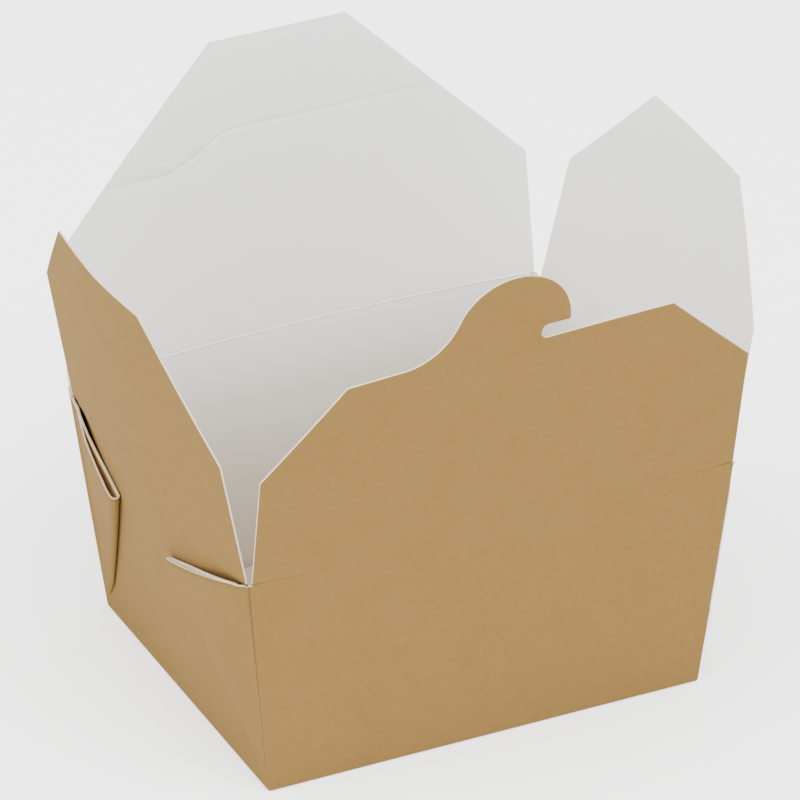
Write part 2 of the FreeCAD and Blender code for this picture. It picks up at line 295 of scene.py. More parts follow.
class Outline:
    """Draws the flat outline of a flap in millimetres, edge by edge, and fills it."""

    def __init__(self, name: str, along: float, up: float) -> None:
        """Starts the outline at a first corner.

        Args:
            name: the piece's name.
            along: the corner's distance along the crease, in mm.
            up: the corner's distance from the crease, in mm.
        """
        Bench.clear()
        bpy.ops.mesh.primitive_plane_add(size=1, location=(0, 0, 0))
        self.piece = Bench.named(name)
        bpy.ops.object.mode_set(mode="EDIT")
        bpy.ops.mesh.select_mode(type="VERT")
        bpy.ops.mesh.select_all(action="SELECT")
        bpy.ops.mesh.merge(type="CENTER")
        bpy.ops.transform.translate(value=(along, up, 0))
        self.start = (along, up)
        self.at = Vector(self.start)

    def line(self, *corners: tuple[float, float]) -> "Outline":
        """Draws straight edges to the given corners, in mm."""
        for along, up in corners:
            step = Vector((along, up)) - self.at
            bpy.ops.mesh.extrude_vertices_move(TRANSFORM_OT_translate={"value": (step.x, step.y, 0)})
            self.at = Vector((along, up))
        return self

    def arc(self, centre: tuple[float, float], angle: float, steps: int) -> "Outline":
        """Draws an arc from the last corner.

        Args:
            centre: the arc's centre, in mm.
            angle: the angle it sweeps, in degrees, positive to the left.
            steps: the number of edges it is drawn with.

        Returns:
            The outline.
        """
        bpy.ops.mesh.spin(steps=steps, angle=math.radians(angle), center=(*centre, 0), axis=(0, 0, -1))
        ray = self.at - Vector(centre)
        turn = math.radians(angle)
        self.at = Vector(centre) + Vector((ray.x * math.cos(turn) - ray.y * math.sin(turn),
                                           ray.x * math.sin(turn) + ray.y * math.cos(turn)))
        return self

    def cut(self, cell: float) -> bpy.types.Object:
        """Closes and fills the outline, and divides it into cells so that it can bend.

        Args:
            cell: the cells' size, in mm.

        Returns:
            The flat piece, in mm.
        """
        self.line(self.start)
        bpy.ops.mesh.select_all(action="SELECT")
        bpy.ops.mesh.remove_doubles(threshold=0.01)
        bpy.ops.mesh.edge_face_add()
        bpy.ops.object.mode_set(mode="OBJECT")
        corners = [Vector(corner.co) for corner in self.piece.data.vertices]
        bpy.ops.object.mode_set(mode="EDIT")
        for axis in (0, 1):
            low = min(corner[axis] for corner in corners)
            high = max(corner[axis] for corner in corners)
            count = max(2, round((high - low) / cell))
            for number in range(1, count):
                place, normal = [0.0, 0.0, 0.0], [0.0, 0.0, 0.0]
                place[axis], normal[axis] = low + (high - low) * number / count, 1.0
                bpy.ops.mesh.select_all(action="SELECT")
                bpy.ops.mesh.bisect(plane_co=place, plane_no=normal)
        bpy.ops.object.mode_set(mode="OBJECT")
        return self.piece


@dataclass(frozen=True)
class Mottle:
    """The effect every face of the card shares: soft clouds and fine pressed fibres."""

    name: str = "card_mottle"
    cloud_scale: float = 90.0
    patch_scale: float = 420.0
    grain_scale: float = 2600.0
    fibre_scale: float = 700.0
    fibre_stretch: float = 9.0
    fibre_relief: float = 0.7

    def build(self) -> bpy.types.NodeTree:
        """Builds the node group once.

        Returns:
            The group, which turns two tints and five strengths into colour, roughness and height.
        """
        tree = bpy.data.node_groups.new(self.name, "ShaderNodeTree")
        for way, sockets in (("INPUT", ("Tint", "Shade", "Clouds", "Grain", "Fibres", "Gloss spread", "Roughness")),
                             ("OUTPUT", ("Color", "Roughness", "Height"))):
            for socket in sockets:
                kind = "NodeSocketColor" if socket in ("Tint", "Shade", "Color") else "NodeSocketFloat"
                tree.interface.new_socket(name=socket, in_out=way, socket_type=kind)
        nodes, links = tree.nodes, tree.links
        start, end = nodes.new("NodeGroupInput"), nodes.new("NodeGroupOutput")
        place = nodes.new("ShaderNodeTexCoord")

        def noise(scale: float, detail: float, rough: float, stretch: tuple | None = None,
                  turn: tuple = (0, 0, 0)) -> bpy.types.NodeSocket:
            """Adds a noise texture centred on nought, on Object coordinates."""
            texture = nodes.new("ShaderNodeTexNoise")
            tune(texture, {"Scale": scale, "Detail": detail, "Roughness": rough})
            source = place.outputs["Object"]
            if stretch:
                mapping = nodes.new("ShaderNodeMapping")
                tune(mapping, {"Scale": stretch, "Rotation": turn})
                links.new(source, mapping.inputs["Vector"])
                source = mapping.outputs["Vector"]
            links.new(source, texture.inputs["Vector"])
            return self.sum(tree, "SUBTRACT", texture.outputs["Fac"], 0.5)

        clouds = self.sum(tree, "ADD", noise(self.cloud_scale, 3, 0.5), noise(self.patch_scale, 3, 0.55))
        grain = noise(self.grain_scale, 4, 0.7)
        fibres = self.sum(tree, "ADD",
                          noise(self.fibre_scale, 3, 0.6, (1, 1, self.fibre_stretch), (0.5, 0.3, 0.2)),
                          noise(self.fibre_scale, 3, 0.6, (self.fibre_stretch, 1, 1), (0.2, 0.6, 0.9)))
        fibres = self.sum(tree, "ADD", fibres,
                          noise(self.fibre_scale, 3, 0.6, (1, self.fibre_stretch, 1), (0.8, 0.1, 0.4)))
        total = self.sum(tree, "MULTIPLY", clouds, start.outputs["Clouds"])
        total = self.sum(tree, "ADD", total, self.sum(tree, "MULTIPLY", grain, start.outputs["Grain"]))
        total = self.sum(tree, "ADD", total, self.sum(tree, "MULTIPLY", fibres, start.outputs["Fibres"]))
        share = self.sum(tree, "ADD", total, 0.5)
        share.node.use_clamp = True
        mix = nodes.new("ShaderNodeMix")
        mix.data_type = "RGBA"
        links.new(share, mix.inputs["Factor"])
        links.new(start.outputs["Shade"], mix.inputs["A"])
        links.new(start.outputs["Tint"], mix.inputs["B"])
        links.new(mix.outputs["Result"], end.inputs["Color"])
        gloss = self.sum(tree, "MULTIPLY", total, start.outputs["Gloss spread"])
        links.new(self.sum(tree, "ADD", gloss, start.outputs["Roughness"]), end.inputs["Roughness"])
        relief = self.sum(tree, "ADD", grain, self.sum(tree, "MULTIPLY", fibres, self.fibre_relief))
        links.new(relief, end.inputs["Height"])
        return tree

    @staticmethod
    def sum(tree: bpy.types.NodeTree, operation: str, first: bpy.types.NodeSocket,
            second: bpy.types.NodeSocket | float) -> bpy.types.NodeSocket:
        """Adds one sum to the group.

        Args:
            tree: the group's nodes.
            operation: the sum, such as ADD or MULTIPLY.
            first: the value it starts from.
            second: a value or a number.

        Returns:
            The sum's output.
        """
        node = tree.nodes.new("ShaderNodeMath")
        node.operation = operation
        tree.links.new(first, node.inputs[0])
        if isinstance(second, (int, float)):
            node.inputs[1].default_value = second
        else:
            tree.links.new(second, node.inputs[1])
        return node.outputs[0]


@dataclass(frozen=True)
class CardFace:
    """One finish of the card: its two tints, mottling, roughness and relief."""

    name: str
    tint: tuple[float, float, float]
    shade: tuple[float, float, float]
    clouds: float
    grain: float
    fibres: float
    roughness: float
    gloss_spread: float
    relief: float
    specular: float
    painted_shade_heights: tuple = ()  # painted shade: heights above the floor in mm, each with the tint it multiplies in

    def build(self, mottle: bpy.types.NodeTree) -> bpy.types.Material:
        """Builds the material.

        Args:
            mottle: the shared node group.

        Returns:
            The material.
        """
        material = bpy.data.materials.new(self.name)
        material.use_nodes = True
        nodes, links = material.node_tree.nodes, material.node_tree.links
        shader = nodes["Principled BSDF"]
        tune(shader, {"Specular IOR Level": self.specular})
        group = nodes.new("ShaderNodeGroup")
        group.node_tree = mottle
        tune(group, {"Tint": (*self.tint, 1), "Shade": (*self.shade, 1), "Clouds": self.clouds, "Grain": self.grain,
                     "Fibres": self.fibres, "Roughness": self.roughness, "Gloss spread": self.gloss_spread})
        bump = nodes.new("ShaderNodeBump")
        tune(bump, {"Strength": 1.0, "Distance": self.relief * MM})
        links.new(group.outputs["Height"], bump.inputs["Height"])
        links.new(self.paint_shade_by_height(material.node_tree, group.outputs["Color"]), shader.inputs["Base Color"])
        links.new(group.outputs["Roughness"], shader.inputs["Roughness"])
        links.new(bump.outputs["Normal"], shader.inputs["Normal"])
        return material

    def paint_shade_by_height(self, tree: bpy.types.NodeTree, colour: bpy.types.NodeSocket) -> bpy.types.NodeSocket:
        """Paints shade into the colour, warmer and duller towards the bottom of the tray, where a table of heights is
        given.

        Args:
            tree: the material's nodes.
            colour: the colour to start from.

        Returns:
            The colour's last output.
        """
        if not self.painted_shade_heights:
            return colour
        nodes, links = tree.nodes, tree.links
        parts = nodes.new("ShaderNodeSeparateXYZ")
        height = nodes.new("ShaderNodeMapRange")
        tune(height, {"From Max": self.painted_shade_heights[-1][0] * MM})
        ramp = nodes.new("ShaderNodeValToRGB")
        stops = ramp.color_ramp.elements
        stops[0].color = (*self.painted_shade_heights[0][1], 1)
        stops[1].color = (*self.painted_shade_heights[-1][1], 1)
        for at, tint in self.painted_shade_heights[1:-1]:
            stops.new(at / self.painted_shade_heights[-1][0]).color = (*tint, 1)
        mix = nodes.new("ShaderNodeMix")
        mix.data_type = "RGBA"
        mix.blend_type = "MULTIPLY"
        tune(mix, {"Factor": 1.0})
        links.new(nodes.new("ShaderNodeTexCoord").outputs["Object"], parts.inputs["Vector"])
        links.new(parts.outputs["Z"], height.inputs["Value"])
        links.new(height.outputs["Result"], ramp.inputs["Fac"])
        links.new(colour, mix.inputs["A"])
        links.new(ramp.outputs["Color"], mix.inputs["B"])
        return mix.outputs["Result"]


@dataclass(frozen=True)
class Card:
    """The folding card: its thickness, the rounding of its cut edges and its faces."""

    thickness: float = 0.5
    edge: float = 0.07
    kraft: CardFace = CardFace("kraft_outside", (0.200, 0.121, 0.039), (0.158, 0.093, 0.027), 0.45, 0.75, 0.75,
                               0.85, 0.1, 0.018, 0.04)
    # the coated face carries painted shade: darker and warmer towards the tray's bottom, by height
    coated: CardFace = CardFace("coated_inside", (0.88, 0.875, 0.865), (0.83, 0.82, 0.81), 0.5, 0.4, 0.3,
                                0.5, 0.1, 0.006, 0.3,
                                ((0.0, (0.29, 0.25, 0.195)), (3.5, (0.42, 0.365, 0.285)),
                                 (24.0, (0.53, 0.48, 0.40)), (45.0, (0.71, 0.67, 0.60)),
                                 (57.0, (0.87, 0.85, 0.81)), (68.0, (1.0, 1.0, 1.0))))
    cut_edge: CardFace = CardFace("cut_edge", (0.68, 0.57, 0.43), (0.52, 0.42, 0.30), 0.3, 1.2, 1.2,
                                  0.85, 0.1, 0.02, 0.1)
    # painted shade: the webs' white coated inside, tinted tan as it looks in shade lit by the kraft in their folds
    painted_shade_pocket: CardFace = CardFace("pocket_inside", (0.74, 0.55, 0.26), (0.64, 0.46, 0.20), 0.45, 0.75, 0.75,
                                0.85, 0.1, 0.018, 0.04)

    def dress(self, pieces: list[bpy.types.Object]) -> None:
        """Gives every piece the card's faces, in the order of Face.

        Args:
            pieces: the pieces folded from this card.
        """
        mottle = Mottle().build()
        faces = [finish.build(mottle) for finish in (self.kraft, self.coated, self.cut_edge, self.painted_shade_pocket)]
        for piece in pieces:
            for material in faces:
                piece.data.materials.append(material)


@dataclass(frozen=True)
class Bow:
    """How the card of one side bends outward between two corners, in mm."""

    depth: float
    fade: float
    power: float

    def at(self, along: float, half: float, up: float = 0.0) -> float:
        """Bend outward at a distance along a side of a given half length, and up its flap, in mm."""
        share = min(1.0, abs(along) / half)
        return self.depth * (1 - self.fade * up) * (1 - share ** self.power)


@dataclass(frozen=True)
class TrayForm:
    """The tapered tray: outer sizes of its base and rim and the height of its walls, in mm."""

    base_length: float = 116.4
    base_width: float = 95.2
    rim_length: float = 129.8
    rim_width: float = 104.6
    height: float = 63.5
    end_drop: float = 0.8
    pan_height: float = 2.2

    def half_length(self, height: float) -> float:
        """Half of the tray's outer length at a height."""
        return (self.base_length + (self.rim_length - self.base_length) * height / self.height) / 2

    def half_width(self, height: float) -> float:
        """Half of the tray's outer width at a height."""
        return (self.base_width + (self.rim_width - self.base_width) * height / self.height) / 2


@dataclass
class SideForm:
    """One side of the box: its wall and its flap as one bent sheet."""

    tray: TrayForm
    side: Side
    bow: Bow
    lean: float
    joint: str
    limit_lean: float
    recess: float = 0.0
    extra: tuple = (0.0, 0.0)
    settled: tuple = (0.0, 0.0)
    keep: float = 0.06
    hinge_depth: float = 0.25
    tuck_power: int = 3
    tuck_crease: float = 25.0
    tuck_foot: float = 9.0

    @property
    def is_end(self) -> bool:
        """True for the two short sides."""
        return self.side in (Side.LEFT, Side.RIGHT)

    @property
    def crease_height(self) -> float:
        """Height of the flap's crease, in mm."""
        return self.tray.height - (self.tray.end_drop if self.is_end else 0.0)

    def reach(self, height: float) -> float:
        """Distance outward of the flat wall at a height, in mm."""
        return self.tray.half_length(height) if self.is_end else self.tray.half_width(height)

    def half(self, height: float) -> float:
        """Half of the wall's length at a height, in mm."""
        return self.tray.half_width(height) if self.is_end else self.tray.half_length(height)

    def push(self, way: float, height: float) -> float:
        """How far the side runs on past its negative or positive end at a height, in mm."""
        return self.extra[0 if way < 0 else 1] * height / self.tray.height

    def swell(self, height: float) -> float:
        """Share of the bow at a height: none above the base fold, all of it at the crease."""
        low = self.tray.pan_height
        return min(1.0, max(0.0, (height - low) / (self.crease_height - low)))

    def wall_out(self, along: float, height: float) -> float:
        """Distance outward of the wall's kraft face, in mm.

        Args:
            along: distance along the wall, in mm.
            height: height above the floor, in mm.

        Returns:
            The distance from the box's centre.
        """
        share = self.swell(height)
        half = self.half(height)
        tuck = self.recess * min(1.0, abs(along) / half) ** self.tuck_power * smooth((1 - share) * self.tuck_crease)
        tuck *= smooth((height - self.tray.pan_height) / self.tuck_foot)
        return self.reach(height) + self.bow.at(along, half) * share - tuck

    def wall_point(self, along: float, height: float, lift: float = 0.0) -> Vector:
        """Place on the wall's kraft face, lifted outward by lift, in mm."""
        return self.side.point(along, self.wall_out(along, height) + lift, height)

    def flap_point(self, along: float, up: float, lift: float = 0.0) -> Vector:
        """Gives a place on the flap's kraft face.

        Args:
            along: distance along the crease, in mm.
            up: distance from the crease, in mm.
            lift: distance off the face, outward, in mm.

        Returns:
            The point in the frame's axes.
        """
        lean = math.radians(self.lean)
        bend = self.bow.at(along, self.half(self.crease_height), up) + lift
        out = self.reach(self.crease_height) + up * math.sin(lean) + bend * math.cos(lean)
        return self.side.point(along, out, self.crease_height + up * math.cos(lean) - bend * math.sin(lean))

    @property
    def hinge(self) -> Vector:
        """A point on the hinge line of the flap's joint."""
        return self.side.point(0, self.reach(self.crease_height) - self.hinge_depth, self.crease_height)

    def flatten_flap(self, piece: bpy.types.Object) -> None:
        """Gives a flap or its bead a mesh of its own."""
        tuple(self.hinge)
        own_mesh(piece)

    def flatten_wall(self, piece: bpy.types.Object) -> None:
        """Works out the plane through a wall's crease and its settled foot, and gives the wall a mesh of its own."""
        first, second = (self.side.point(way * self.half(0), self.reach(0) + shift, 0)
                         for way, shift in zip((-1, 1), self.settled))
        level = self.side.point(1, 0, 0).normalized() + (second - first).normalized()
        anchor = (first + second) / 2
        normal = level.cross(self.side.point(0, self.reach(self.tray.height), self.tray.height) - anchor)
        if normal.dot(self.side.outward) < 0:
            normal.negate()
        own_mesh(piece)


@dataclass
class BasePan:
    """The base panel with the lowest strip of the four walls, turned up at round folds."""

    tray: TrayForm
    card: Card
    fold: float = 0.7
    corner: float = 0.9
    steps: int = 5
    edge_angle: float = 60.0

    def build(self) -> bpy.types.Object:
        """Builds the pan.

        Returns:
            The piece.
        """
        Bench.clear()
        high = self.tray.pan_height
        bpy.ops.mesh.primitive_cube_add(size=1, location=(0, 0, high / 2 * MM))
        piece = Bench.named("base_pan")
        piece.scale = (self.tray.base_length * MM, self.tray.base_width * MM, high * MM)
        bpy.ops.object.transform_apply()
        bpy.ops.object.mode_set(mode="EDIT")
        Bench.pick(piece, lambda centre, normal: normal.z > 0.9)
        bpy.ops.transform.resize(value=(self.tray.half_length(high) * 2 / self.tray.base_length,
                                        self.tray.half_width(high) * 2 / self.tray.base_width, 1))
        bpy.ops.mesh.delete(type="FACE")
        Bench.pick_edges(piece, lambda middle, run: abs(run.z) > 0.5)
        bpy.ops.mesh.bevel(offset=self.corner * MM, segments=self.steps, affect="EDGES")
        Bench.pick_edges(piece, lambda middle, run: middle.z < 0.01 * MM)
        bpy.ops.mesh.bevel(offset=self.fold * MM, segments=self.steps, affect="EDGES")
        bpy.ops.mesh.select_all(action="SELECT")
        bpy.ops.mesh.normals_make_consistent(inside=False)
        bpy.ops.object.mode_set(mode="OBJECT")
        Bench.thicken(piece, self.card.thickness, self.card.edge, Face.KRAFT, angle=self.edge_angle)
        return piece


@dataclass
class Wall:
    """One wall of the tray, from the base fold's strip to the flap's crease."""

    form: SideForm
    card: Card
    columns: int = 44
    rows: int = 20
    long_inset: float = 0.6
    end_inset: float = 0.3
    foot_inset: float = 0.8
    foot_clear: tuple[float, float] = (7.0, 6.0)
    push_power: int = 12
    notch: float = 1.7
    notch_height: float = 3.5
    notch_ease: float = 1.5
    crease_gap: float = 0.1
    overlap: float = 1.2
    step: float = 0.03

    def build(self) -> bpy.types.Object:
        """Builds the wall.

        Returns:
            The piece.
        """
        form = self.form
        low = form.tray.pan_height - self.overlap
        high = form.crease_height - self.crease_gap

        def place(along: float, up: float) -> Vector:
            """Folds the flat grid up to the wall."""
            height = low + (high - low) * up
            relief = 0.0
            if form.is_end:
                relief = self.notch * smooth((height - high + self.notch_height) / self.notch_ease)
                relief += self.foot_inset * (1 - smooth((height - self.foot_clear[0]) / self.foot_clear[1]))
            half = form.half(height) - (self.end_inset if form.is_end else self.long_inset) - relief
            run = along * 2 - 1
            extra = math.copysign(form.push(run, height) * abs(run) ** self.push_power, run)
            return form.wall_point(run * half + extra, height, -self.step)

        piece = Bench.grid(f"{form.side.word}_wall", self.columns, self.rows)
        Bench.fold(piece, place)
        Bench.face_outward(piece, form.side.outward)
        Bench.thicken(piece, self.card.thickness, self.card.edge, Face.KRAFT)
        return piece


@dataclass
class Web:
    """A corner web: from the long wall round the corner, over the end wall, and folded back under itself.

    A share runs from the corner to the fold, up from the base corner to the top edge; sizes are in mm.
    """

    end: SideForm
    long: SideForm
    card: Card
    top: float = 63.3
    sag: tuple[float, float] = (37.6, 56.3)
    tip: tuple[float, float] = (16.5, 50.8)
    gaps: tuple = ((0.0, 0.5), (0.12, 1.0), (0.3, 1.1), (0.48, 0.9), (0.7, 0.4), (0.82, 0.2), (1.0, 0.2))
    stacks: tuple = ((0.0, 0.3), (0.1, 0.1), (0.22, 0.12), (0.34, 0.5), (0.5, 1.2), (0.72, 1.9), (0.9, 2.3),
                     (1.0, 2.2))
    fold_radius: float = 1.25
    # the face the web's inside shows: painted shade of its fold, unless another face is given
    inside: Face = Face.PAINTED_SHADE_POCKET
    strip: float = 2.0
    round: float = 0.9
    cover: float = 0.03
    sink: float = 0.25
    seam: tuple[float, float] = (1.2, 0.8)
    foot_stack: float = 0.3
    growth: float = 3.5
    rise: tuple[float, float] = (5.4, 0.6)
    landing: tuple[float, float] = (4.0, 0.45)
    clearance: float = 0.12
    push_fade: float = 5.0
    deepest: float = -0.02
    room: tuple[float, float, float] = (0.2, 0.4, 4.0)
    bite: float = 0.4
    back_end: tuple[float, float] = (2.4, 2.88)
    back_change: tuple[float, float] = (0.84, 0.12)
    bulge: float = 0.01
    foot_share: float = 0.9
    rows: int = 30
    strip_steps: int = 4
    round_steps: int = 6
    layer_steps: int = 14
    fold_steps: int = 10
    near_corner: tuple[float, float, float] = (62.0, 52.0, 50.0)
    name: str = field(init=False)
    turn: int = field(init=False)
    way: int = field(init=False)
    foot: Vector = field(init=False)

    def __post_init__(self) -> None:
        """Names the web after its two walls, and notes its corner."""
        self.name = f"{self.long.side.word}_{self.end.side.word}_web"
        self.turn = -1 if self.long.side is Side.FRONT else 1
        self.way = -1 if self.end.side is Side.LEFT else 1
        self.foot = Vector((self.end.tray.half_width(0), 0.0))

    def top_edge(self, share: float) -> Vector:
        """Place on the web's top edge, as side and height."""
        corner = Vector((self.end.tray.half_width(self.top), self.top))
        return corner * (1 - share) ** 2 + Vector(self.sag) * 2 * share * (1 - share) + Vector(self.tip) * share ** 2

    def spot(self, share: float, up: float) -> Vector:
        """Place on the fan of rays that rises from the base corner, as side and height."""
        return self.foot + (self.top_edge(share) - self.foot) * up

    def lay(self, flat: Vector, lift: float) -> Vector:
        """Lays a place of the web on the end wall, at a distance off the flat wall."""
        return self.end.side.point(self.turn * flat.x, self.end.reach(flat.y) + lift, flat.y)

    def lifts(self, share: float, up: float) -> tuple[float, float]:
        """Gives the distances off the flat wall of the kraft faces of the two layers.

        Args:
            share: the place between the corner and the fold.
            up: the place between the base corner and the top edge.

        Returns:
            The distances of the outer and of the inner layer.
        """
        flat, card = self.spot(share, up), self.card.thickness
        wall = self.end.wall_out(flat.x, flat.y) - self.end.reach(flat.y)
        stack = self.foot_stack + (between(self.stacks, share) - self.foot_stack) * up
        outer = wall + between(self.gaps, share) * up + stack + card
        reach = (self.spot(1.0, up) - self.spot(0.0, up)).length
        run = max(0.0, share * reach - self.round)
        push = self.long.push(self.way, flat.y)
        outer = outer * smooth(up * self.growth) * smooth(run / min(self.rise[0], reach * self.rise[1]))
        outer += push * (1 - smooth(share * self.push_fade))
        outer += max(0.0, wall + self.clearance - outer) * smooth(run / min(self.landing[0], reach * self.landing[1]))
        outer = max(outer, self.deepest)
        away = self.end.tray.half_width(flat.y) - flat.x - self.round
        room = self.room[0] + self.room[1] * (1 - smooth(away / self.room[2]))
        return outer, min(max(outer - stack - card, wall - self.bite), outer - card - room)

    def profile(self, up: float) -> list[Vector]:
        """Gives one line across the whole web.

        Args:
            up: the place between the base corner and the top edge.

        Returns:
            Points from the long wall round the corner, along the outer layer, round the fold and back.
        """
        edge, fold = self.spot(0.0, up), self.spot(1.0, up)
        half = self.end.reach(edge.y) + self.long.push(self.way, edge.y)
        width = self.end.tray.half_width(edge.y)
        under = smooth((edge.y - self.top + self.seam[0]) / self.seam[1])
        points = []
        for step in range(self.strip_steps):
            part = step / self.strip_steps
            along = half - self.strip + (self.strip - self.round) * part
            out = self.long.wall_out(along, edge.y) + self.cover - self.sink * max(1 - part, under)
            points.append(Vector((self.way * along, self.turn * out, edge.y)) * MM)
        for step in range(self.round_steps):
            angle = math.pi / 2 * step / self.round_steps
            along = half - self.round + self.round * math.sin(angle)
            out = width - self.round + self.round * math.cos(angle) + self.cover
            points.append(Vector((self.way * along, self.turn * out, edge.y)) * MM)
        reach = (edge - fold).length
        start = self.round / reach
        last = max(start + 0.02, 1 - self.fold_radius / reach)
        for step in range(self.layer_steps + 1):
            share = start + (last - start) * step / self.layer_steps
            points.append(self.lay(self.spot(share, up), self.lifts(share, up)[0]))
        outer, inner = self.lifts(last, up)
        middle, deep = (outer + inner) / 2, (outer - inner) / 2
        root = self.spot(last, up)
        for step in range(1, self.fold_steps):
            angle = math.pi * step / self.fold_steps
            points.append(self.lay(root + (fold - root) * math.sin(angle), middle + deep * math.cos(angle)))
        hidden = self.back_end[0] + self.back_end[1] * (1 - smooth((up - self.back_change[0]) / self.back_change[1]))
        end = min(last - 0.02, (self.round + hidden) / reach)
        for step in range(self.layer_steps + 1):
            share = last + (end - last) * step / self.layer_steps
            raised = (self.spot(share, up) - self.foot) * (1 + self.bulge * math.sin(math.pi * share))
            points.append(self.lay(self.foot + raised, self.lifts(share, up)[1]))
        return points

    def build(self) -> bpy.types.Object:
        """Builds the web.

        Returns:
            The piece.
        """
        low = self.end.tray.pan_height / self.top * self.foot_share
        lines = [self.profile(low + (1 - low) * row / self.rows) for row in range(self.rows + 1)]
        columns = len(lines[0]) - 1
        piece = Bench.grid(self.name, columns, self.rows)
        Bench.fold(piece, lambda across, up: lines[round(up * self.rows)][round(across * columns)])
        side, out, height = self.near_corner
        Bench.face_outward(piece, Vector((0, self.turn, 0)), Vector((self.way * side, self.turn * out, height)) * MM)
        Bench.thicken(piece, self.card.thickness, 0.0, even=False, inside=self.inside)
        return piece


@dataclass
class CreaseBead:
    """The round bead that the scored card pushes up along the inside of a flap's crease."""

    form: SideForm
    card: Card
    half: float
    radius: float = 0.3
    depth: float = 0.38
    cells: int = 44
    sides: int = 14
    taper: float = 0.4
    taper_from: float = 0.985
    smooth_angle: float = 50.0

    def build(self) -> bpy.types.Object:
        """Builds the bead.

        Returns:
            The piece.
        """
        Bench.clear()
        bpy.ops.mesh.primitive_cylinder_add(vertices=self.sides, radius=1, depth=2, rotation=(0, math.pi / 2, 0))
        piece = Bench.named(f"{self.form.side.word}_crease_bead")
        bpy.ops.object.transform_apply()
        bpy.ops.object.mode_set(mode="EDIT")
        for number in range(1, self.cells):
            bpy.ops.mesh.select_all(action="SELECT")
            bpy.ops.mesh.bisect(plane_co=(2 * number / self.cells - 1, 0, 0), plane_no=(1, 0, 0))
        bpy.ops.object.mode_set(mode="OBJECT")
        for face in piece.data.polygons:
            inside = face.normal.y < 0.3 and abs(face.normal.x) < 0.5
            face.material_index = Face.COATED.value if inside else Face.KRAFT.value
        form = self.form
        for corner in piece.data.vertices:
            along, out, up = corner.co
            taper = 1 - self.taper * smooth((abs(along) - self.taper_from) / (1 - self.taper_from))
            point = form.flap_point(along * self.half, 0.0, -self.depth + out * self.radius * taper)
            corner.co = point + Vector((0, 0, up * self.radius * taper * MM))
        Bench.edit(piece)
        bpy.ops.mesh.select_all(action="SELECT")
        bpy.ops.mesh.normals_make_consistent(inside=False)
        bpy.ops.object.mode_set(mode="OBJECT")
        Bench.shade(piece)
        bpy.ops.object.shade_smooth_by_angle(angle=math.radians(self.smooth_angle))
        return piece


@dataclass
class Flap:
    """One closing flap: a flat outline drawn in mm, bent to its bow and leaned outward.

    The sizes given here are the left flap's: its root, a shoulder and a chamfer at each side, and a level top.
    """

    form: SideForm
    card: Card
    cell: float = 3.2
    root_gap: float = 0.12
    score_reach: float = 0.75
    roots: tuple = (-50.6, 50.6)
    bead: float = 49.7
    shoulders: tuple = ((-49.6, 34.2), (49.3, 36.7))
    tops: tuple = ((-21.9, 63.9), (23.8, 64.0))
    pressed: tuple = ()

    @property
    def name(self) -> str:
        """The flap's name, as its CAD node has it with a word for the card."""
        return f"{self.form.side.word}_flap_card"

    def outline(self) -> Outline:
        """Draws the flap's six-sided outline."""
        drawn = Outline(self.name, self.roots[0], self.root_gap)
        return drawn.line((self.roots[1], self.root_gap), self.shoulders[1], self.tops[1], self.tops[0],
                          self.shoulders[0])

    def build(self) -> bpy.types.Object:
        """Builds the flap.

        Returns:
            The piece.
        """
        piece = self.outline().cut(self.cell)
        for line, _, width in self.pressed:
            Bench.score(piece, line, width, self.cell * self.score_reach)
        Bench.fold(piece, lambda along, up: self.form.flap_point(along, up, self.press(along, up)))
        Bench.face_outward(piece, self.form.side.outward)
        Bench.thicken(piece, self.card.thickness, self.card.edge)
        return piece

    def press(self, along: float, up: float) -> float:
        """Gives how far the card is pressed out at a place.

        Args:
            along: distance along the crease, in mm.
            up: distance from the crease, in mm.

        Returns:
            The distance outward, in mm.
        """
        at, lift = Vector((along, up)), 0.0
        for line, depth, width in self.pressed:
            for first, last in zip(line, line[1:]):
                start, run = Vector(first), Vector(last) - Vector(first)
                share = min(1.0, max(0.0, (at - start).dot(run) / run.length_squared))
                away = (at - start - run * share).length
                lift = max(lift, depth * max(0.0, 1 - away / width))
        return lift


@dataclass
class BackFlap(Flap):
    """The long flap at the back, with a score line and a slit for the tab."""

    roots: tuple = (-65.2, 64.3)
    bead: float = 63.4
    shoulders: tuple = ((-65.2, 32.0), (65.0, 32.4))
    tops: tuple = ((-18.2, 78.8), (19.3, 78.7))
    pressed: tuple = ((((-48.3, 47.2), (-31.4, 47.1)), 0.11, 0.4), (((-11.8, 55.2), (41.9, 55.0)), 0.11, 0.4),
                      (((-31.4, 47.1), (-28.8, 48.6), (-25.2, 49.8), (-21.5, 52.0), (-19.3, 53.5), (-16.0, 54.9),
                        (-11.8, 55.2)), 0.15, 0.3))


